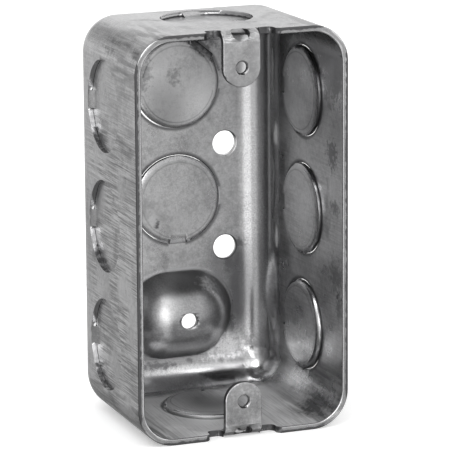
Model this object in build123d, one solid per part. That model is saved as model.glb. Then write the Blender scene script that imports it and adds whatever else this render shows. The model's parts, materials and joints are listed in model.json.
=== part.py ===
from build123d import *
import math
import os

# The origin is midway between the two tapped ear holes, on the ears' front faces.
# X runs across the box, Y from the opening to the back and Z along its length.

# Box outside sizes
height = 101.6
width = 55.5
depth = 47.6
sheet = 1.6
draft_deg = 0.96
corner_r = 9.4
back_r = 10.5
rim_edge = 0.3

# Ears bent in from both ends of the rim, with their tapped holes
device_inset = 9.13
ear_width = 9.6
ear_recess = 0.4
ear_bend_r = 2.9
ear_edge = 0.25
device_hole_r = 1.42
device_mouth_r = 1.85
relief_width = 4.1
relief_depth = 3.6
relief_corner_r = 1.4
relief_lead = 1.1
lower_ear_set_in = 0.6
bend_hole_width = 4.8
bend_hole_height = 4.4
bend_hole_shift = 0.2

# Half-inch knockouts: punched discs pressed inward and held by one tie
knockout_hole_r = 11.5
knockout_gap = 0.12
knockout_push = 1.3
knockout_edge_run = 1.2
knockout_edge_drop = 0.55
knockout_mouth = 0.3
knockout_pitch_share = 0.2963
knockout_back_distance = 23.5
tie_width = 4.4
tie_run = 2.8
tie_lap = 0.2
tie_root = 0.8
top_knockout_lean = 2.5
top_knockout_tie_deg = 40.0
top_knockout_tie_width = 7.0

# Raised ground seat, a pressed dome with a tapped hole in its crown
ground_rise = 8.8
ground_half_height = 12.3
ground_half_width = 15.5
ground_flank_deg = 55.0
ground_foot_r = 1.6
ground_hole_r = 2.05
ground_mouth_r = 2.4

# Two mounting holes beside the centre line of the back
mount_hole_r = 3.15
mount_pitch = 27.2
mount_side_margin = 0.1
mount_mouth = 0.25

# Sizes that follow from the ones above
overcut = 1.5
on_floor = (Align.CENTER, Align.CENTER, Align.MIN)
wall_slope = math.tan(math.radians(draft_deg))
ear_y = 0.0
rim_y = ear_y - ear_recess
back_y = rim_y + depth
floor_y = back_y - sheet
flat_half_width = width / 2 - depth * wall_slope - back_r
mount_x = flat_half_width - mount_hole_r - mount_side_margin
knockout_disc_r = knockout_hole_r - knockout_gap
knockout_y = back_y - knockout_back_distance
knockout_pitch = height * knockout_pitch_share
device_z = height / 2 - device_inset
flank_run = math.cos(math.radians(ground_flank_deg))
flank_rise = math.sin(math.radians(ground_flank_deg))
ground_spread = ground_half_height * flank_rise - ground_rise * flank_run
ground_crown_r = ground_spread / (1 - flank_run) - ground_foot_r


def wall_z(y):
    # outer face of the top end wall at this depth
    return height / 2 - (y - rim_y) * wall_slope


def wall_x(y):
    # outer face of the right side wall at this depth
    return width / 2 - (y - rim_y) * wall_slope


def drawn_block(inset):
    # leaning block with round corners and a round back edge
    rim = Plane(origin=(0, rim_y, 0), x_dir=(1, 0, 0), z_dir=(0, 1, 0))
    outline = RectangleRounded(width - 2 * inset, height - 2 * inset, corner_r - inset)
    block = extrude(rim * outline, amount=depth - inset, taper=draft_deg)
    back = block.faces().sort_by(Axis.Y)[-1]
    return fillet(back.edges(), back_r - inset)


def drawn_shell():
    # the pressed tray: outer block less the inner one, rim edges eased
    shell = drawn_block(0) - drawn_block(sheet)
    rim = shell.faces().sort_by(Axis.Y)[0]
    return chamfer(rim.edges(), rim_edge)


def relief_notches():
    # round-bottomed cuts in the top end of the rim, one on each side of the ear
    notch_height = 2 * relief_depth
    shape = RectangleRounded(relief_width, notch_height, relief_corner_r)
    left = Pos(-(ear_width + relief_width) / 2, rim_y) * shape
    right = Pos((ear_width + relief_width) / 2, rim_y) * shape
    middle = Pos(0, rim_y) * Rectangle(ear_width, notch_height)
    far_x = ear_width / 2 + relief_width
    corners = [(-far_x - relief_lead, 0), (far_x + relief_lead, 0), (far_x, relief_lead), (-far_x, relief_lead)]
    mouth = Pos(0, rim_y) * make_face(Polyline(*corners, close=True))
    cut_height = sheet + 2 * overcut
    level = Pos(0, 0, height / 2 - sheet - overcut)
    return level * extrude(left + right + middle + mouth, amount=cut_height)


def ear_strip(set_in):
    # the sheet carried over the rim and bent in across the opening
    root_y = rim_y + relief_depth + sheet / 4
    root_z = wall_z(root_y)
    end_z = device_z - ear_width
    corner_z = wall_z(ear_y) - set_in
    inner_y = ear_y + sheet
    inner_z = corner_z + (root_z - corner_z) * (inner_y - ear_y) / (root_y - ear_y) - sheet
    points = [
        (root_y, root_z),
        (ear_y, corner_z),
        (ear_y, end_z),
        (inner_y, end_z),
        (inner_y, inner_z),
        (root_y, root_z - sheet),
    ]
    profile = make_face(Polyline(*points, close=True))
    outer = profile.vertices().sort_by_distance((ear_y, corner_z, 0))[0]
    profile = fillet(outer, ear_bend_r)
    inner = profile.vertices().sort_by_distance((inner_y, inner_z, 0))[0]
    profile = fillet(inner, ear_bend_r - sheet)
    across = Plane(origin=(0, 0, 0), x_dir=(0, 1, 0), z_dir=(1, 0, 0))
    return extrude(across * profile, amount=ear_width / 2, both=True)


def ear_outline():
    # straight sides and a full round end centred on the tapped hole
    facing = Plane(origin=(0, rim_y - overcut, 0), x_dir=(1, 0, 0), z_dir=(0, 1, 0))
    reach = height / 2 + overcut - device_z
    flat = Pos(0, -(device_z + reach / 2)) * Rectangle(ear_width, reach)
    end = Pos(0, -device_z) * Circle(ear_width / 2)
    return extrude(facing * (flat + end), amount=relief_depth + 2 * overcut)


def bend_hole(set_in):
    # oval hole punched through the bend before folding
    corner = (0, ear_y + bend_hole_shift, wall_z(ear_y) - set_in + bend_hole_shift)
    slanted = Plane(origin=corner, x_dir=(1, 0, 0), z_dir=(0, 1, -1))
    oval = Ellipse(bend_hole_width / 2, bend_hole_height / 2)
    return extrude(slanted * oval, amount=ear_bend_r + 2 * sheet, both=True)


def tapped_hole(radius, mouth_r, thickness):
    # through hole along local Z from 0 to the thickness, both mouths opened
    lead = mouth_r - radius
    bore = Pos(0, 0, -overcut) * Cylinder(radius, thickness + 2 * overcut, align=on_floor)
    near = Cone(mouth_r, radius, lead, align=on_floor)
    far = Pos(0, 0, thickness - lead) * Cone(radius, mouth_r, lead, align=on_floor)
    return bore + near + far


def top_ear(set_in):
    # one finished ear at the top, its bend set in from the end wall by this much
    ear = ear_strip(set_in) & ear_outline()
    front = ear.faces().filter_by(Axis.Y).sort_by(Axis.Y)[0]
    ear = chamfer(front.edges().filter_by(GeomType.CIRCLE), ear_edge)
    seat = Plane(origin=(0, ear_y, device_z), x_dir=(1, 0, 0), z_dir=(0, 1, 0))
    return ear - seat * tapped_hole(device_hole_r, device_mouth_r, sheet) - bend_hole(set_in)


def knockout_cut():
    # hole through the wall, its inner edge rolled open; local Z points inward
    mouth_r = knockout_hole_r + knockout_mouth
    hole = Pos(0, 0, -overcut) * Cylinder(knockout_hole_r, sheet + overcut, align=on_floor)
    mouth = Cone(knockout_hole_r, mouth_r, knockout_mouth, align=on_floor)
    above = Cylinder(mouth_r, overcut, align=on_floor)
    return hole + Pos(0, 0, sheet - knockout_mouth) * mouth + Pos(0, 0, sheet) * above


def knockout_disc(lean_deg, width_of_tie):
    # pressed-in disc with its tie towards local +X, leaned about the tie's root
    disc = Cylinder(knockout_disc_r, sheet, align=on_floor)
    face = disc.faces().sort_by(Axis.Z)[-1]
    disc = chamfer(face.edges(), knockout_edge_run, knockout_edge_drop, reference=face)
    disc = Pos(0, 0, knockout_push) * disc
    fold_x = knockout_hole_r + tie_lap
    root_x = fold_x + tie_root
    ramp_x = knockout_hole_r - tie_run
    side = Plane(origin=(0, 0, 0), x_dir=(1, 0, 0), z_dir=(0, -1, 0))
    points = [
        (root_x, sheet / 4),
        (fold_x, 0),
        (ramp_x, knockout_push),
        (ramp_x - tie_root, knockout_push),
        (ramp_x - tie_root, knockout_push + sheet),
        (ramp_x, knockout_push + sheet),
        (fold_x, sheet),
        (root_x, sheet * 3 / 4),
    ]
    tie = extrude(side * make_face(Polyline(*points, close=True)), amount=width_of_tie / 2, both=True)
    clear_align = (Align.MIN, Align.CENTER, Align.MIN)
    clear = Box(tie_run + overcut, width_of_tie, 2 * sheet + knockout_push, align=clear_align)
    piece = disc - Pos(ramp_x, 0, 0) * clear + tie
    hinge = Axis((root_x, 0, sheet / 2), (0, 1, 0))
    return piece.rotate(hinge, lean_deg)


def knockout_places():
    # for each knockout a plane on the wall's outer face, its lean and its tie's width
    lean = math.radians(draft_deg)
    back_x = (-math.sin(lean), math.cos(lean), 0)
    places = []
    for row in (-1, 0, 1):
        z = row * knockout_pitch
        x = wall_x(knockout_y)
        inward = (-math.cos(lean), -math.sin(lean), 0)
        places.append((Plane(origin=(x, knockout_y, z), x_dir=back_x, z_dir=inward), 0, tie_width))
        mirrored_x = (-back_x[0], back_x[1], 0)
        mirrored_in = (-inward[0], inward[1], 0)
        places.append((Plane(origin=(-x, knockout_y, z), x_dir=mirrored_x, z_dir=mirrored_in), 0, tie_width))
    for side in (-1, 1):
        z = side * wall_z(knockout_y)
        to_back = (0, math.cos(lean), -side * math.sin(lean))
        inward = (0, -math.sin(lean), -side * math.cos(lean))
        places.append((Plane(origin=(0, knockout_y, z), x_dir=to_back, z_dir=inward), 0, tie_width))
    places.append((Plane(origin=(0, back_y, 0), x_dir=(0, 0, -1), z_dir=(0, -1, 0)), 0, tie_width))
    tie_turn = math.radians(top_knockout_tie_deg)
    to_tie = (math.sin(tie_turn), 0, math.cos(tie_turn))
    upper = Plane(origin=(0, back_y, knockout_pitch), x_dir=to_tie, z_dir=(0, -1, 0))
    places.append((upper, top_knockout_lean, top_knockout_tie_width))
    return places


def dome_outline(crown_r, foot_r, floor):
    # half profile of the dome: radius across, rise up, down to its floor level
    half = math.radians(ground_flank_deg) / 2
    crown_c = ground_rise - ground_crown_r
    offset = crown_r + crown_c * flank_run
    foot_y = floor + foot_r
    foot_x = (offset + foot_r - foot_y * flank_run) / flank_rise
    top = (0, crown_c + crown_r)
    crown_mid = (crown_r * math.sin(half), crown_c + crown_r * math.cos(half))
    crown_end = (crown_r * flank_rise, crown_c + crown_r * flank_run)
    foot_start = (foot_x - foot_r * flank_rise, foot_y - foot_r * flank_run)
    foot_mid = (foot_x - foot_r * math.sin(half), foot_y - foot_r * math.cos(half))
    foot_end = (foot_x, floor)
    lines = [
        ThreePointArc(top, crown_mid, crown_end),
        Line(crown_end, foot_start),
        ThreePointArc(foot_start, foot_mid, foot_end),
    ]
    return lines, foot_x, top[1]


def dome_solid(crown_r, foot_r, floor, base):
    # long dome: one profile turned at both ends and carried straight between
    lines, foot_x, top = dome_outline(crown_r, foot_r, floor)
    lines += Polyline((foot_x, floor), (foot_x, base), (0, base), (0, top)).edges()
    profile = make_face(Wire(lines))
    reach = ground_half_width - ground_half_height
    turn_plane = Plane(origin=(0, floor_y, 0), x_dir=(1, 0, 0), z_dir=(0, 0, 1))
    upright = turn_plane * mirror(profile, about=Plane.XZ)
    turned = revolve(upright, axis=Axis((0, 0, 0), (0, 1, 0)))
    middle_plane = Plane(origin=(0, floor_y, 0), x_dir=(0, 0, 1), z_dir=(-1, 0, 0))
    whole = mirror(profile, about=Plane.XZ)
    whole = whole + mirror(whole, about=Plane.YZ)
    middle = extrude(middle_plane * whole, amount=reach, both=True)
    return Pos(reach, 0, 0) * turned + Pos(-reach, 0, 0) * turned + middle


def ground_seat(shell):
    # press the dome inward: add its skin inside and hollow it from behind
    place = Pos(0, 0, -knockout_pitch)
    skin = dome_solid(ground_crown_r, ground_foot_r, 0, -sheet / 2)
    hollow = dome_solid(ground_crown_r - sheet, ground_foot_r + sheet, -sheet, -sheet - overcut)
    crown = Plane(origin=(0, floor_y - ground_rise, -knockout_pitch), x_dir=(1, 0, 0), z_dir=(0, 1, 0))
    return shell + place * skin - place * hollow - crown * tapped_hole(ground_hole_r, ground_mouth_r, sheet)


def mounting_holes():
    # two plain holes through the back, one above the other
    holes = []
    for side in (-1, 1):
        seat = Plane(origin=(mount_x, floor_y, side * mount_pitch / 2), x_dir=(1, 0, 0), z_dir=(0, 1, 0))
        holes.append(seat * tapped_hole(mount_hole_r, mount_hole_r + mount_mouth, sheet))
    return holes


def handy_box():
    # the whole pressed box as one solid
    body = drawn_shell()
    notch = relief_notches()
    body = body - notch - mirror(notch, about=Plane.XY)
    body = body + top_ear(0) + mirror(top_ear(lower_ear_set_in), about=Plane.XY)
    for plane, lean_deg, width_of_tie in knockout_places():
        body = body - plane * knockout_cut()
        body = body + plane * knockout_disc(lean_deg, width_of_tie)
    body = ground_seat(body)
    for hole in mounting_holes():
        body = body - hole
    return body


box = handy_box()
box.label = "handy_box"
os.makedirs("parts", exist_ok=True)
export_step(box, "parts/handy_box.step")
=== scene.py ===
import json
import math

import bpy
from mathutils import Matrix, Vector


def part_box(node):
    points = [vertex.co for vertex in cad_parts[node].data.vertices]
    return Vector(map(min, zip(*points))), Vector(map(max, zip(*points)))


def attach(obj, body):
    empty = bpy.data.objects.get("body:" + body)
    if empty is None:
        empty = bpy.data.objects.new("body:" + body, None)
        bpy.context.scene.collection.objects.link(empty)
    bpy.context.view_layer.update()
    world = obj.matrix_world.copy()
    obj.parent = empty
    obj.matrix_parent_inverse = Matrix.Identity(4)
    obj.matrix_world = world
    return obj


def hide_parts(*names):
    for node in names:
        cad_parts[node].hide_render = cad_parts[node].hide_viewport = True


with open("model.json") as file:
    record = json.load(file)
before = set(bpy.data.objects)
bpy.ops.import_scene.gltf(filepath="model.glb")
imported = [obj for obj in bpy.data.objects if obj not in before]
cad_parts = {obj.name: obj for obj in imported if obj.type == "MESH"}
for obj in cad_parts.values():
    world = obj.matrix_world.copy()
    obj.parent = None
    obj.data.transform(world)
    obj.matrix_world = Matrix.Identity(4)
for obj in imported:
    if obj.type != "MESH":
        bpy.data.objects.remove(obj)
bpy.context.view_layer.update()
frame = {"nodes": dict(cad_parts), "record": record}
mm = 0.001
boxNode = frame["nodes"]["handy_box"]
boxLow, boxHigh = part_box("handy_box")
mounts = {mount["name"]: mount for mount in frame["record"]["mounts"]}
knockoutPitch = mounts["knockout_back_high"]["pos_m"][2] / mm
print("frame loaded", [round(v, 4) for v in boxLow], [round(v, 4) for v in boxHigh])


# small helpers

def deselectAll():
    if bpy.context.object and bpy.context.object.mode != "OBJECT":
        bpy.ops.object.mode_set(mode="OBJECT")
    bpy.ops.object.select_all(action="DESELECT")


def pickOnly(obj):
    deselectAll()
    obj.select_set(True)
    bpy.context.view_layer.objects.active = obj


def editAll(obj):
    pickOnly(obj)
    bpy.ops.object.mode_set(mode="EDIT")
    bpy.ops.mesh.select_all(action="SELECT")


def applyPlace(obj):
    pickOnly(obj)
    bpy.ops.object.transform_apply(location=True, rotation=True, scale=True)


def applyModifier(obj, kind, **settings):
    pickOnly(obj)
    modifier = obj.modifiers.new(kind.lower(), kind)
    for key, value in settings.items():
        setattr(modifier, key, value)
    bpy.ops.object.modifier_apply(modifier=modifier.name)


def clamp(value, low=0.0, high=1.0):
    return max(low, min(high, value))


# shader maths

class Wire:
    # wraps one node socket so that Python expressions add Math nodes
    def __init__(self, sheet, socket):
        self.sheet = sheet
        self.socket = socket

    def math(self, operation, *others):
        return self.sheet.add("ShaderNodeMath", {"operation": operation}, [self, *others])

    def __add__(self, other): return self.math("ADD", other)
    def __radd__(self, other): return self.math("ADD", other)
    def __sub__(self, other): return self.math("SUBTRACT", other)

    def __rsub__(self, other):
        return self.sheet.add("ShaderNodeMath", {"operation": "SUBTRACT"}, [other, self])

    def __mul__(self, other): return self.math("MULTIPLY", other)
    def __rmul__(self, other): return self.math("MULTIPLY", other)
    def abs(self): return self.math("ABSOLUTE")
    def max(self, other): return self.math("MAXIMUM", other)
    def min(self, other): return self.math("MINIMUM", other)

    def ramp(self, low, high, outLow=0.0, outHigh=1.0):
        # smooth step from low to high
        settings = {"interpolation_type": "SMOOTHSTEP"}
        values = {"Value": self, "From Min": low, "From Max": high, "To Min": outLow, "To Max": outHigh}
        return self.sheet.add("ShaderNodeMapRange", settings, values)

    def fade(self, start, full):
        # 0 at start and 1 at full, whichever of them is larger
        return self.ramp(start, full) if start < full else self.ramp(full, start, 1, 0)


class Sheet:
    # one material's or world's node tree
    def __init__(self, owner):
        owner.use_nodes = True
        self.owner = owner
        self.nodes = owner.node_tree.nodes
        self.links = owner.node_tree.links

    def add(self, kind, settings=None, values=None, output=0):
        node = self.nodes.new(kind)
        for key, value in (settings or {}).items():
            setattr(node, key, value)
        pairs = enumerate(values) if isinstance(values, (list, tuple)) else (values or {}).items()
        for key, value in pairs:
            self.feed(node.inputs[key], value)
        return Wire(self, node.outputs[output])

    def feed(self, socket, value):
        if isinstance(value, Wire):
            self.links.new(value.socket, socket)
        else:
            socket.default_value = value

    def place(self):
        # object coordinates in millimetres
        coords = self.add("ShaderNodeTexCoord", output="Object")
        return self.add("ShaderNodeVectorMath", {"operation": "SCALE"}, {"Vector": coords, "Scale": 1 / mm})

    def split(self, vector):
        return {axis: self.add("ShaderNodeSeparateXYZ", None, [vector], axis.upper()) for axis in "xyz"}

    def mark(self, name):
        # a value stored on the mesh
        return self.add("ShaderNodeAttribute", {"attribute_name": name}, None, "Fac")

    def noise(self, vector, size, detail=4.0, roughness=0.5, drawn=1, shift=(0, 0, 0)):
        # grain of about this size in millimetres, drawn out along y
        scale = [1 / size, 1 / (size * drawn), 1 / size]
        moved = {"Vector": vector, "Location": shift}
        mapped = self.add("ShaderNodeMapping", {"vector_type": "TEXTURE"}, moved)
        scaled = self.add("ShaderNodeVectorMath", {"operation": "MULTIPLY"}, [mapped, scale])
        values = {"Vector": scaled, "Scale": 1.0, "Detail": detail, "Roughness": roughness}
        return self.add("ShaderNodeTexNoise", None, values)

    def blendColour(self, factor, first, second):
        node = self.nodes.new("ShaderNodeMix")
        node.data_type = "RGBA"
        colours = [socket for socket in node.inputs if socket.type == "RGBA"]
        for socket, value in zip((node.inputs[0], *colours), (factor, first, second)):
            self.feed(socket, value)
        return Wire(self, [socket for socket in node.outputs if socket.type == "RGBA"][0])


def zone(axes, fades):
    # a soft box in space: each fade names an axis, where it starts and where it is full
    return math.prod(axes[axis].fade(start, full) for axis, start, full in fades)


# galvanised steel sheet

steelLook = {
    "bright": (0.64, 0.64, 0.645, 1),
    "dull": (0.4, 0.4, 0.405, 1),
    "stainAndShade": (0.1, 0.1, 0.104, 1),
    "score": (0.12, 0.12, 0.123, 1),
    "rubbedAndLitTone": (0.86, 0.86, 0.865, 1),
    "formedAndShadedTone": (0.42, 0.42, 0.425, 1),
    "domeTone": (0.38, 0.38, 0.385, 1),
    "burnished": (0.46, 0.46, 0.465, 1),
    "tornAndShaded": (0.12, 0.12, 0.123, 1),
    "flatRough": (0.26, 0.42),
    "formedRough": 0.15,
    "domeRough": 0.36,
    "burnishedRough": 0.22,
    "tornRough": 0.5,
    "rubbedRough": 0.5,    # added at the lower end, inside
    "smudgeRough": 0.08,
    "scoredRough": 0.15,
    "domeSpread": 0.3,
    "middleLimits": (0.3, 0.7),
    # how far each tone covers the zinc
    "formedShare": 0.7,
    "lowerEndShare": 0.8,
    # burnish at which an edge turns from torn to burnished, and then to polished
    "edgeLimits": (0.42, 0.58),
    "edgeGrain": 0.5,
    "polishedLimits": (0.8, 0.95),
    "polishedShare": 0.7,
    # clouds, mottle, grain and speckle: sizes in millimetres and shares of the tone
    "grainSizes": (26.0, 7.0, 1.3, 0.45),
    "grainShares": (0.33, 0.29, 0.2, 0.18),
    "grainLimits": (0.4, 0.6),
    "raggedSize": 1.1,
    "raggedReach": 3,
    # marks of the die: size, how far drawn out, and the noise limits between clean and marked
    "drawn": (0.7, 26, (0.5, 0.62)),
    "hair": (0.33, 34, (0.52, 0.58)),
    "crease": (1.6, 9, (0.4, 0.6)),
    "glintLimits": (0.46, 0.4),
    "scoreShares": (0.5, 0.75),
    "scoreDepth": 0.7,
    "glintDepth": 0.4,
    "rubbingSize": 15,
    "rubbingLimits": (0.33, 0.5),
    "rubbingShares": (0.75, 0.25),    # more on the left wall, and everywhere
    "rubbingHeights": (16, 32, 1, 0.4),
    "smudgeSize": 8,
    "smudgeLimits": (0.56, 0.76),
    # how much each kind of dirt and painted shade darkens
    "smudgeDirt": 0.4,
    "creaseDark": 0.6,
    "ringDirtAndShade": 0.75,
    "rightWallShadeDepth": 0.55,
    "domeFootShadeDepth": 0.5,
    "darkest": 0.85,
    "shadeMottleShares": (0.6, 0.8),    # the same all over, and with the mottle
    "lessShadeOnFormed": 0.6,
    # knockouts, where dirt and painted shade darken: the crack outside the disc, the fold inside it, half a
    # tie and how far out it starts
    "crack": ((0, 0.05), (1.2, 0.4)),
    "fold": ((-2.0, -1.8), (-1.4, -1.7)),
    "foldShare": 0.4,
    "tieHalf": (2.5, 2.1),
    "tieOut": (8, 9),
    "endFaces": (44, 45),
    "backFace": (38, 39),
    # ripple in the sheet, and the shares of wave, grain, draw marks and torn edges in it
    "waveSize": 14,
    "waveShares": (0.35, 0.05, 0.05, 0.2),
    "bump": {"Strength": 0.3, "Distance": 0.0006},
    # soft zones: axis, where it starts and where it is full
    "leftWall": (("x", -22, -24), ("y", 38, 30)),
    "leftOutside": (("x", -26.4, -26.6),),
    "rimFace": (("y", 0.5, 0),),
    "corners": (("tall", 30, 45), ("y", 30, 8), ("wide", 12, 22)),
    "lowerEnd": (("z", -47, -49), ("y", 38, 34)),
    # painted shade: high on the right inside, and at the right foot of the ground seat
    "rightWallShade": (("x", 14, 20), ("z", 2, 34)),
    "domeFootShade": (("x", 7, 11), ("y", 42, 44), ("z", -38, -30), ("z", -8, -16)),
    # soft patches: middle, radii and strength
    # dark patches: stains and smears, and painted shade in the right wall's top corner and on the lower ear
    "darkSpots": [
        ((-0.9, 42, 32.5), (2.4, 5, 3.2), 0.5),
        ((8.5, 43, 39.5), (3.6, 6, 2.8), 0.75),
        ((-9.6, 43, 34.5), (3.0, 5, 8.0), 0.55),
        ((-5.9, 43, -5.9), (0.9, 4, 1.5), 0.9),
        ((-3.3, 45.6, -16.1), (1.0, 3, 2.8), 0.35),
        ((16.2, 45.6, -13.0), (3.0, 3, 1.6), 0.4),
        ((14.2, 45.6, -18.0), (2.0, 3, 3.4), 0.35),
        ((14.9, 45.2, -34.5), (1.2, 3, 2.8), 0.55),
        ((-6.0, 45.4, -43.4), (5.5, 3, 1.4), 0.6),
        ((3.0, 45.6, -42.6), (1.4, 3, 0.9), 0.45),
        ((11.6, 45.6, -43.2), (1.0, 3, 0.9), 0.5),
        ((25.6, 6.1, 16.9), (4, 4.0, 4.6), 0.8),
        ((25.6, 4.3, 3.6), (4, 4.4, 2.6), 0.7),
        ((24.0, 5.0, 41.0), (8, 12, 12), 0.7),
        ((25.6, 3.5, -13.5), (4, 5.0, 6.0), 0.6),
        ((25.6, 1.5, -21.0), (4, 3.0, 4.0), 0.6),
        ((24.0, 9.0, -47.0), (6, 9, 3.5), 0.5),
        ((-27.3, 20.0, 46.0), (3, 6, 2.6), 0.6),
        ((-27.3, 3.0, 46.5), (3, 3, 2.6), 0.5),
        ((0, 0.8, -43.0), (9, 3, 12), 0.3),
    ],
    # painted light: lighter patches low on the right of the back wall and on the upper right of the ground
    # seat
    "brightSpots": [
        ((13.0, 45.6, -40.0), (8.0, 3, 4.6), 0.8),
        ((8.4, 41.0, -21.0), (5.0, 3.5, 3.6), 0.8),
    ],
    # painted highlights: the ground seat's bright crescent and upper right, the bright line along the lower
    # fillet, the glint on the left rim's inner edge, the bottom wall inside, the back wall beside the upper
    # knockout and the tie below the middle one
    "paintedHighlightSpots": [
        ((-6.8, 38.5, -24.8), (6.4, 9, 6.6), 0.6),
        ((-7.4, 38.0, -33.0), (3.4, 8, 8.0), 0.5),
        ((8.6, 40.5, -20.3), (3.2, 6, 3.2), 0.7),
        ((20.0, 41.0, -47.0), (7.0, 6.0, 5.0), 1.0),
        ((14, 20, -48.6), (18, 24, 3), 0.8),
        ((-25.8, -0.2, 12.0), (0.8, 1.2, 14), 1.0),
        ((-8, 26.0, -48.6), (16, 30, 3), 0.8),
        ((6.0, 43.9, -44.7), (19, 2.2, 1.8), 1.0),
        ((7.0, 42.0, 25.0), (7, 4, 12), 1.0),
        ((0, 44.8, -10.0), (3.0, 2.4, 2.4), 0.6),
    ],
    # painted shade: on the back wall, the bottom wall and the lower right wall inside, on the upper ear and
    # at the foot of the ground seat
    "paintedShadeSpots": [
        ((-4, 45.6, -42.0), (16, 4, 3.6), 0.4),
        ((17.5, 45.6, -25.0), (4.5, 4, 17), 0.5),
        ((-4.5, 42.0, 23.0), (8, 4, 11), 0.55),
        ((0, 22, -46.9), (10, 11, 3), 0.7),
        ((23.0, 24, -38.0), (4, 9, 9), 0.2),
        ((24.5, 15, -37.0), (5, 13, 9), 0.5),
        ((0, 0.8, 42.0), (9, 3, 14), 0.12),
        ((2, 39, -39.5), (14, 6, 4), 0.3),
    ],
    "spotEdge": (0.2, 1.1),    # as shares of the radii: still full and quite gone
}


def patches(sheet, place, ragged, table):
    # soft round spots, their outlines broken up by the ragged value
    total = 0.0
    full, gone = steelLook["spotEdge"]
    for middle, radii, strength in table:
        offset = sheet.add("ShaderNodeVectorMath", {"operation": "SUBTRACT"}, [place, middle])
        scaled = sheet.add("ShaderNodeVectorMath", {"operation": "DIVIDE"}, [offset, radii])
        away = sheet.add("ShaderNodeVectorMath", {"operation": "LENGTH"}, [scaled], "Value")
        total = (away + ragged).ramp(full, gone, strength, 0) + total
    return total.min(1)


def fromCentre(first, second):
    return (first * first + second * second).math("SQRT")


def knockoutRings(axes, inner):
    # dirt and shade held in the crack round every pressed disc
    look = steelLook
    deep = mounts["knockout_left_middle"]["pos_m"][1] / mm
    radius = mounts["knockout_left_middle"]["dims"]["r_mm"]
    x, y, z, wide, tall = [axes[name] for name in ("x", "y", "z", "wide", "tall")]
    wallRow = tall.min((tall - knockoutPitch).abs())
    backRow = tall.min((z - knockoutPitch).abs())
    ends = tall.ramp(*look["endFaces"])
    back = y.ramp(*look["backFace"])
    distance = fromCentre(y - deep, wallRow)
    distance = distance + (fromCentre(x, y - deep) - distance) * ends
    distance = distance + (fromCentre(x, backRow) - distance) * (back * (1 - ends))
    past = distance - radius
    crack, fold = [past.fade(*rise) * past.fade(*fall) for rise, fall in (look["crack"], look["fold"])]
    # no crack where a tie joins disc and wall
    wallTie = (y - deep).ramp(*look["tieOut"]) * wallRow.fade(*look["tieHalf"]) * (1 - ends)
    backTie = (z * -1).ramp(*look["tieOut"]) * wide.fade(*look["tieHalf"]) * back
    return (crack + fold * look["foldShare"]) * inner * (1 - wallTie) * (1 - backTie)


def innerSide(axes):
    # 0 on the outer faces and 1 on the inner ones, as depthInSheet but in nodes
    lean = (axes["y"] - shellLook["rimY"]) * shellLook["draft"]
    sides = boxHigh.x / mm - lean - axes["wide"]
    ends = boxHigh.z / mm - lean - axes["tall"]
    depth = sides.min(ends).min(boxHigh.y / mm - axes["y"])
    return depth.ramp(*shellLook["innerFrom"])


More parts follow.
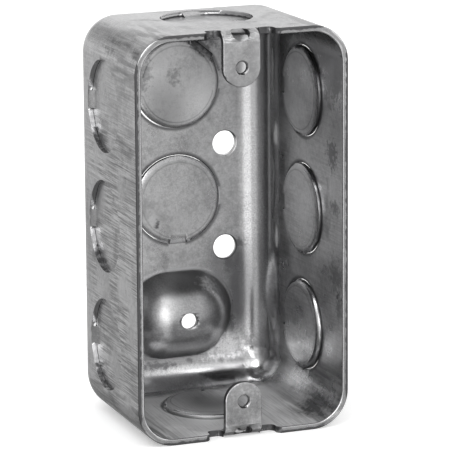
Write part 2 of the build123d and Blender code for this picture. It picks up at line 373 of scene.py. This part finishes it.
def makeSteel():
    look = steelLook
    sheet = Sheet(bpy.data.materials.new("galvanisedSteel"))
    shader = sheet.nodes["Principled BSDF"]
    place = sheet.place()
    axes = sheet.split(place)
    axes["wide"], axes["tall"] = axes["x"].abs(), axes["z"].abs()
    formed, domed, sheared, burnish = [sheet.mark(name) for name in markNames]
    inner = innerSide(axes)

    # grain of the zinc
    grains = [sheet.noise(place, size) for size in look["grainSizes"]]
    middle, fine = grains[1:3]
    blotch = sum(grain * share for grain, share in zip(grains, look["grainShares"]))
    blotch = blotch.ramp(*look["grainLimits"])

    # patches: stains and painted shade that darken, painted highlights and painted light that lighten
    ragged = sheet.noise(place, look["raggedSize"], roughness=0.65, shift=(7, 1, 9))
    ragged = (ragged - 0.5) * look["raggedReach"]
    darkened = patches(sheet, place, ragged, look["darkSpots"])
    darkened = darkened + patches(sheet, place, 0, look["paintedShadeSpots"])
    darkened = darkened * inner.max(zone(axes, look["leftOutside"]))
    lightened = patches(sheet, place, ragged, look["brightSpots"])
    lightened = lightened + patches(sheet, place, 0, look["paintedHighlightSpots"])
    lightened = lightened * inner.max(zone(axes, look["rimFace"]))

    # scratches along the draw: the left wall rubbed most on the die
    size, length, drawnLimits = look["drawn"]
    drawn = sheet.noise(place, size, drawn=length)
    size, length, hairLimits = look["hair"]
    hair = sheet.noise(place, size, detail=2, drawn=length, shift=(2, 11, 5))
    onLeft, everywhere = look["rubbingShares"]
    rubbing = sheet.noise(place, look["rubbingSize"], detail=2, shift=(4, 9, 23))
    rubbing = rubbing.ramp(*look["rubbingLimits"])
    rubbing = rubbing * (zone(axes, look["leftWall"]) * onLeft + everywhere)
    rubbing = rubbing * axes["z"].ramp(*look["rubbingHeights"])
    drawnShare, hairShare = look["scoreShares"]
    scored = (drawn.ramp(*drawnLimits) * drawnShare + hair.ramp(*hairLimits) * hairShare) * rubbing
    glint = hair.fade(*look["glintLimits"]) * rubbing

    # dirt and painted shade: painted shade high on the right and beside the dome, less smudging at the
    # lower end, which is rubbed and painted lighter
    lowerEnd = inner * zone(axes, look["lowerEnd"]) * look["lowerEndShare"]
    smudge = sheet.noise(place, look["smudgeSize"], roughness=0.55, shift=(31, 7, 12))
    smudge = smudge.ramp(*look["smudgeLimits"]) * (1 - formed) * (1 - lowerEnd)
    # dark streaks along the draw near the front of the ends, where the sheet wrinkles
    size, length, creaseLimits = look["crease"]
    crease = sheet.noise(place, size, drawn=length, shift=(3, 0, 5)).ramp(*creaseLimits)
    crease = crease * zone(axes, look["corners"])
    # painted shade, mottled by the middle grain
    rightWallShade = zone(axes, look["rightWallShade"]) * inner * look["rightWallShadeDepth"]
    domeFootShade = zone(axes, look["domeFootShade"]) * inner * look["domeFootShadeDepth"]
    even, mottled = look["shadeMottleShares"]
    sideShade = (rightWallShade + domeFootShade) * (1 - formed * look["lessShadeOnFormed"]) * (even + middle * mottled)
    ring = knockoutRings(axes, inner)
    dirtAndShade = smudge * look["smudgeDirt"] + crease * look["creaseDark"] + ring * look["ringDirtAndShade"]
    dirtAndShade = dirtAndShade + sideShade + darkened

    grey = sheet.blendColour(blotch, look["dull"], look["bright"])
    # lower end inside: a lighter tone, partly rubbed zinc and partly painted light
    grey = sheet.blendColour(lowerEnd, grey, look["rubbedAndLitTone"])
    # rounded places: a darker tone, partly the drawn finish and partly painted shade
    grey = sheet.blendColour(formed * look["formedShare"], grey, look["formedAndShadedTone"])
    grey = sheet.blendColour(domed, grey, look["domeTone"])
    # painted highlights and painted light from the light patches, and the light scratches
    grey = sheet.blendColour((lightened + glint * look["glintDepth"]).min(1), grey, look["rubbedAndLitTone"])
    grey = sheet.blendColour(dirtAndShade.min(look["darkest"]), grey, look["stainAndShade"])
    grey = sheet.blendColour((scored * look["scoreDepth"]).min(look["scoreDepth"]), grey, look["score"])
    # sheared edges: torn, burnished, or polished where the burnish is strongest, with the painted
    # highlights of the light patches on them too
    edge = (burnish + (fine - 0.5) * look["edgeGrain"]).ramp(*look["edgeLimits"])
    polishedAndLit = (burnish.ramp(*look["polishedLimits"]) * look["polishedShare"]).max(lightened)
    cutGrey = sheet.blendColour(edge, look["tornAndShaded"], look["burnished"])
    cutGrey = sheet.blendColour(polishedAndLit, cutGrey, look["rubbedAndLitTone"])
    sheet.feed(shader.inputs["Base Color"], sheet.blendColour(sheared, grey, cutGrey))
    shader.inputs["Metallic"].default_value = 1.0

    smooth, coarse = look["flatRough"]
    rough = middle.ramp(*look["middleLimits"], smooth, coarse)
    rough = rough + smudge * look["smudgeRough"] + lowerEnd * look["rubbedRough"]
    rough = rough * (1 - formed) + formed * (look["formedRough"] + scored * look["scoredRough"])
    rough = rough * (1 - domed) + domed * (look["domeRough"] + (middle - 0.5) * look["domeSpread"])
    cutRough = edge * (look["burnishedRough"] - look["tornRough"]) + look["tornRough"]
    rough = rough * (1 - sheared) + cutRough * sheared
    sheet.feed(shader.inputs["Roughness"], rough)

    waves = (sheet.noise(place, look["waveSize"], detail=1), fine, drawn, sheared * fine)
    height = sum(wave * share for wave, share in zip(waves, look["waveShares"]))
    bump = sheet.add("ShaderNodeBump", None, {**look["bump"], "Height": height})
    sheet.feed(shader.inputs["Normal"], bump)
    return sheet.owner


# the pressed shell, lengths in millimetres

markNames = ("formed", "domed", "sheared", "burnish")
shellLook = {
    "mergeGap": 0.002,
    "flatAngle": math.radians(0.4),
    "smoothAngle": math.radians(50),
    "normalWeight": 80,
    "sheet": 1.6,
    "draft": 0.01676,
    "rimY": -0.4,
    "rimEdge": 0.3,
    "innerFrom": (1.4, 1.55),    # depth at which a point counts as inside
    "earHalfWidth": 4.8,
    "earLength": 5.0,    # beyond the hole
    "earReach": 5.0,
    "notchDepth": 4.9,
    "notchReach": 10.3,
    "discRing": (7.5, 12.7),    # from a knockout's axis
    "discDepth": (-5, 0.5),
    "steep": 0.35,    # below this an edge face stands square to its sheet
    "steepInBack": 0.8,
    "earBore": 2.0,
    "mountingHole": 3.6,
    "groundBore": (2.6, 2.0),    # away from its axis, and along it
    # fine screw thread
    "screwPitch": 0.794,
    "screwTurns": 4,
    "screwSteps": 28,
    "threadDepth": 0.3,
    "threadOverlap": 0.12,
    "threadFill": 0.94,
    # ground seat: half its straight part and its radius, and how far before its face it counts
    "domeReach": (3.2, 12.6),
    "domeMargin": 2.0,
    # burnish of each kind of edge: at the outer face, and its gain through the sheet
    "burnish": {"rim": (0.15, 0.72), "hole": (1.1, -1.0), "disc": (-1.08, 1.35), "ear": (0.0, 0),
                "notch": (0.42, 0), "bore": (0.75, 0)},
    # left wall's knockout holes: painted highlight on the upper part and middle, fading to painted shade
    # low in each hole
    "aboveTie": 0.9,
    "belowTie": (1.5, 8.5, 3, 0.48),    # from and to where it is bright, how it fades, and what is left
    "middleTop": (0, 15, 1.0),    # painted highlight on the upper half of the middle knockout's hole in the back
    "middleLow": (-2, 8, 0.3),    # and painted shade on its lower half, up to the mounting holes
    # polish of rounded places
    "cornerPolish": 0.3,
    "bendPolish": 0.0,
    "bendDepth": 5,
    "flatLimit": 0.996,
    "flatFade": 0.03,
}


def makeShell(steel):
    pickOnly(boxNode)
    bpy.ops.object.duplicate()
    shell = bpy.context.object
    shell.name = "pressedShell"
    shell.parent = None
    editAll(shell)
    bpy.ops.mesh.remove_doubles(threshold=shellLook["mergeGap"] * mm)
    bpy.ops.object.mode_set(mode="OBJECT")
    shell.data.materials.clear()
    shell.data.materials.append(steel)
    return shell


def makeThreadCutter(middle, bore):
    # a three-sided rib wound along the hole, a little longer than the sheet is thick
    look = shellLook
    pitch, depth, inside = [look[key] * mm for key in ("screwPitch", "threadDepth", "threadOverlap")]
    bpy.ops.mesh.primitive_circle_add(vertices=3, radius=1, fill_type="NOTHING")
    rib = bpy.context.object
    rib.rotation_euler = (0, math.pi / 2, -math.pi / 2)
    applyPlace(rib)
    tall = look["threadFill"] * pitch / math.sqrt(3)
    wide = (depth + inside) / 1.5
    rib.scale = (wide, 1, tall)
    rib.location = (bore - inside + wide * 0.5, 0, -look["screwTurns"] * pitch / 2)
    applyPlace(rib)
    winding = {"axis": "Z", "angle": math.tau, "screw_offset": pitch, "iterations": look["screwTurns"]}
    steps = look["screwSteps"]
    applyModifier(rib, "SCREW", steps=steps, render_steps=steps, use_smooth_shade=False, **winding)
    editAll(rib)
    bpy.ops.mesh.fill_holes(sides=3)
    bpy.ops.mesh.select_all(action="SELECT")
    bpy.ops.mesh.normals_make_consistent(inside=False)
    bpy.ops.object.mode_set(mode="OBJECT")
    rib.rotation_euler = (math.pi / 2, 0, 0)
    rib.location = middle
    applyPlace(rib)
    return rib


def cutThreads(shell):
    ears, ground = mounts["device_screws"], mounts["ground_screw"]
    half = ears["dims"]["spacing_y_mm"] * mm / 2
    inEar = shellLook["sheet"] * mm / 2
    bores = [
        (Vector((0, inEar, half)), ears["dims"]["hole_r_mm"] * mm),
        (Vector((0, inEar, -half)), ears["dims"]["hole_r_mm"] * mm),
        (Vector(ground["pos_m"]), ground["dims"]["r_mm"] * mm),
    ]
    for middle, bore in bores:
        cutter = makeThreadCutter(middle, bore)
        applyModifier(shell, "BOOLEAN", operation="DIFFERENCE", object=cutter, solver="EXACT")
        bpy.data.objects.remove(cutter, do_unlink=True)


def fromAxis(point, mount, shift=(0, 0, 0)):
    # distance along and away from a hole's axis, in millimetres
    axis = Vector(mount["axis"])
    offset = point - Vector(mount["pos_m"]) / mm - Vector(shift)
    along = offset.dot(axis)
    return along, (offset - axis * along).length


def depthInSheet(point):
    # how far a point lies inside the box's outer faces
    lean = (point.y - shellLook["rimY"]) * shellLook["draft"]
    sides = boxHigh.x / mm - lean - abs(point.x)
    ends = boxHigh.z / mm - lean - abs(point.z)
    return min(sides, ends, boxHigh.y / mm - point.y)


def edgeKind(centre, normal):
    # names the sheared edge that a face belongs to, if any
    look = shellLook
    if centre.y < look["rimY"] + look["rimEdge"] + 0.01:
        return "rim"
    inRing, outRing = look["discRing"]
    under, over = look["discDepth"]
    for name, mount in mounts.items():
        if name.startswith("knockout"):
            along, away = fromAxis(centre, mount)
            square = abs(normal.dot(Vector(mount["axis"]))) < look["steep"]
            if under < along < over and inRing < away < outRing and square:
                return "disc" if depthInSheet(centre) > look["sheet"] + 0.05 else "hole"
    earRow = mounts["device_screws"]["dims"]["spacing_y_mm"] / 2
    beyond = abs(centre.z) > earRow + look["earLength"]
    inEar = centre.y < look["sheet"] + 0.1 and not beyond and abs(centre.x) < look["earReach"]
    if inEar and abs(normal.y) < look["steep"]:
        return "bore" if math.hypot(centre.x, abs(centre.z) - earRow) < look["earBore"] else "ear"
    if beyond and centre.y < look["notchDepth"] and abs(centre.x) < look["notchReach"]:
        inStrip = abs(centre.x) < look["earHalfWidth"] - 0.05
        slanted = abs(normal.y - math.copysign(normal.z, centre.z * normal.z)) < 0.3
        if (inStrip and slanted) or (not inStrip and abs(normal.z) < 0.5):
            return "notch"
    inBack = abs(normal.y) < look["steepInBack"]
    holes = mounts["mounting_holes"]
    for side in (-1, 1):
        shift = (0, 0, side * holes["dims"]["spacing_y_mm"] / 2)
        if inBack and fromAxis(centre, holes, shift)[1] < look["mountingHole"]:
            return "hole"
    along, away = fromAxis(centre, mounts["ground_screw"])
    if inBack and away < look["groundBore"][0] and abs(along) < look["groundBore"][1]:
        return "bore"
    return ""


def burnishAndLightOf(kind, point):
    # share of the sheared band that the punch left bright; on the knockout holes of the left wall and the
    # back it is set by height, as painted highlight and painted shade
    look = shellLook
    # painted highlight and painted shade by height
    if kind == "hole" and point.x < -20:    # left wall
        start, end, soft, least = look["belowTie"]
        below = round(point.z / knockoutPitch) * knockoutPitch - point.z
        return clamp((end - below) / soft, least, 1) if below > start else look["aboveTie"]
    # painted highlight above, painted shade below
    if kind == "hole" and point.y > 40:    # back wall
        low, high, bright = look["middleTop"]
        if low < point.z < high:
            return bright
        high, right, tornAndShaded = look["middleLow"]
        if point.z < high and point.x < right:
            return tornAndShaded
    base, gain = look["burnish"][kind]
    return base + gain * depthInSheet(point) / look["sheet"]


def inDome(point):
    # inside the outline of the raised ground seat
    reach, radius = shellLook["domeReach"]
    seat = Vector(mounts["ground_screw"]["pos_m"]) / mm
    past = max(abs(point.x - seat.x) - reach, 0)
    return point.y > seat.y - shellLook["domeMargin"] and math.hypot(past, point.z - seat.z) < radius


def polishOf(point, normal):
    # how smooth the drawing left a rounded place: flats stay dull
    look = shellLook
    straight = max(abs(v) for v in normal)
    polish = clamp((look["flatLimit"] - straight) / look["flatFade"])
    if abs(normal.y) < 0.1:
        return polish * look["cornerPolish"]
    return polish * (look["bendPolish"] if point.y < look["bendDepth"] else 1.0)


def markShell(shell):
    # stores on every corner how formed, how sheared and how burnished it is, the burnish carrying painted
    # highlight and painted shade on some knockout holes
    mesh = shell.data
    for name in markNames:
        mesh.attributes.new(name, "FLOAT", "CORNER")
    formed, domed, sheared, burnish = [mesh.attributes[name].data for name in markNames]
    counts = {}
    for polygon in mesh.polygons:
        kind = edgeKind(polygon.center / mm, polygon.normal)
        counts[kind] = counts.get(kind, 0) + 1
        for corner in polygon.loop_indices:
            normal = mesh.corner_normals[corner].vector
            point = mesh.vertices[mesh.loops[corner].vertex_index].co / mm
            formed[corner].value = polishOf(point, normal)
            domed[corner].value = 1.0 if inDome(point) and abs(normal.y) < 0.9999 else 0.0
            sheared[corner].value = 1.0 if kind else 0.0
            burnish[corner].value = clamp(burnishAndLightOf(kind, point)) if kind else 0.0
    print("edges marked", counts)


def finishShell(shell):
    editAll(shell)
    bpy.ops.mesh.dissolve_limited(angle_limit=shellLook["flatAngle"])
    bpy.ops.object.mode_set(mode="OBJECT")
    pickOnly(shell)
    bpy.ops.object.shade_smooth_by_angle(angle=shellLook["smoothAngle"])
    applyModifier(shell, "WEIGHTED_NORMAL", keep_sharp=True, weight=shellLook["normalWeight"])
    markShell(shell)
    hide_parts("handy_box")
    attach(shell, "root")


# floor, light and camera

studio = {
    "floorSize": 6,
    "floorColour": (0.95, 0.95, 0.95, 1),
    "floorRough": 0.9,
    "floorGlow": 0.3,    # a lit table: the shadow stays faint
    # brightness of the room from straight down to straight up
    "heightStops": [
        (0.0, 0.2), (0.28, 0.28), (0.36, 0.5), (0.42, 0.72), (0.5, 0.86),
        (0.62, 1.0), (0.9, 1.1), (0.97, 0.7), (1.0, 0.7),
    ],
    # darker parts of the room, far left and back corner: how much, and where as in zone
    "shades": [
        (0.25, (("x", -0.75, -0.95),)),
        (0.5, (("y", 0.3, 0.7), ("x", 0.1, -0.15), ("z", 0.0, 0.25))),
    ],
    "softBoxes": [
        # wide one low in front of the opening
        (0.45, (("y", -0.2, -0.4), ("x", -0.72, -0.62), ("x", 0.12, 0.0),
                ("z", -0.5, -0.4), ("z", 0.3, 0.1))),
        # smaller one beside the camera
        (0.7, (("y", -0.2, -0.4), ("x", -0.46, -0.4), ("x", 0.02, -0.06),
                ("z", -0.42, -0.36), ("z", 0.12, 0.04))),
        # low at the front right
        (0.8, (("y", -0.2, -0.4), ("x", 0.44, 0.5), ("x", 0.74, 0.68),
                ("z", -0.42, -0.36), ("z", 0.12, 0.04))),
        # strong one above the camera, caught by the dome and the slits
        (3.0, (("y", -0.2, -0.4), ("x", -0.5, -0.42), ("x", -0.18, -0.26),
                ("z", 0.04, 0.14), ("z", 0.54, 0.42))),
        # high at the left, caught by the lower fillet after the side wall
        (4.2, (("y", -0.25, -0.35), ("x", -0.66, -0.56), ("x", -0.12, -0.22),
                ("z", 0.76, 0.8), ("z", 0.93, 0.9))),
    ],
    "overhead": ((-0.9, -0.7, 1.6), (1.4, 1.4), 6.0),    # place, size and power
    "cameraPlace": (-0.32303, -0.80689, 0.20145),
    "cameraTurn": (77.13, 0.3716, -21.6115),
    "lens": 293.24,
    "sensorWidth": 36,
    "clip": (0.05, 20),
}


def makeFloor():
    bpy.ops.mesh.primitive_plane_add(size=studio["floorSize"], location=(0, 0, boxLow.z))
    floor = bpy.context.object
    floor.name = "floor"
    applyPlace(floor)
    sheet = Sheet(bpy.data.materials.new("palePaper"))
    paper = sheet.nodes["Principled BSDF"].inputs
    paper["Base Color"].default_value = studio["floorColour"]
    paper["Roughness"].default_value = studio["floorRough"]
    paper["Emission Color"].default_value = studio["floorColour"]
    paper["Emission Strength"].default_value = studio["floorGlow"]
    floor.data.materials.append(sheet.owner)
    floor.visible_glossy = False    # the metal mirrors the room, not the table


def addLight(name, place, size, power, aim=(0, 0, 0)):
    bpy.ops.object.light_add(type="AREA", location=place)
    light = bpy.context.object
    light.name = name
    light.data.shape = "RECTANGLE"
    light.data.size, light.data.size_y = size
    light.data.energy = power
    direction = Vector(aim) - Vector(place)
    light.rotation_euler = direction.to_track_quat("-Z", "Y").to_euler()


def lightStudio():
    # a room that is dark below, pale at eye level and bright overhead, with soft boxes in front
    world = bpy.context.scene.world or bpy.data.worlds.new("studio")
    bpy.context.scene.world = world
    sheet = Sheet(world)
    axes = sheet.split(sheet.add("ShaderNodeTexCoord", output="Generated"))
    ramp = sheet.nodes.new("ShaderNodeValToRGB")
    stops = studio["heightStops"]
    for place, level in stops[1:-1]:
        ramp.color_ramp.elements.new(place)
    for element, (place, level) in zip(ramp.color_ramp.elements, stops):
        element.position = place
        element.color = (level, level, level, 1)
    sheet.feed(ramp.inputs["Fac"], axes["z"] * 0.5 + 0.5)
    level = Wire(sheet, ramp.outputs["Color"])
    for amount, fades in studio["shades"]:
        level = level * (1 - zone(axes, fades) * amount)
    for strength, fades in studio["softBoxes"]:
        level = level + zone(axes, fades) * strength
    background = sheet.nodes["Background"]
    background.inputs["Color"].default_value = (1, 1, 1, 1)
    sheet.feed(background.inputs["Strength"], level)
    addLight("overhead", *studio["overhead"])


def placeCamera():
    bpy.ops.object.camera_add(location=studio["cameraPlace"])
    camera = bpy.context.object
    camera.rotation_euler = [math.radians(angle) for angle in studio["cameraTurn"]]
    camera.data.sensor_width = studio["sensorWidth"]
    camera.data.lens = studio["lens"]
    camera.data.clip_start, camera.data.clip_end = studio["clip"]
    bpy.context.scene.camera = camera
    bpy.context.scene.view_settings.view_transform = "Standard"


steel = makeSteel()
print("steel mixed")
shell = makeShell(steel)
cutThreads(shell)
print("threads cut", len(shell.data.polygons), "faces")
finishShell(shell)
print("shell finished", len(shell.data.polygons), "faces")
makeFloor()
lightStudio()
placeCamera()
print("studio ready")
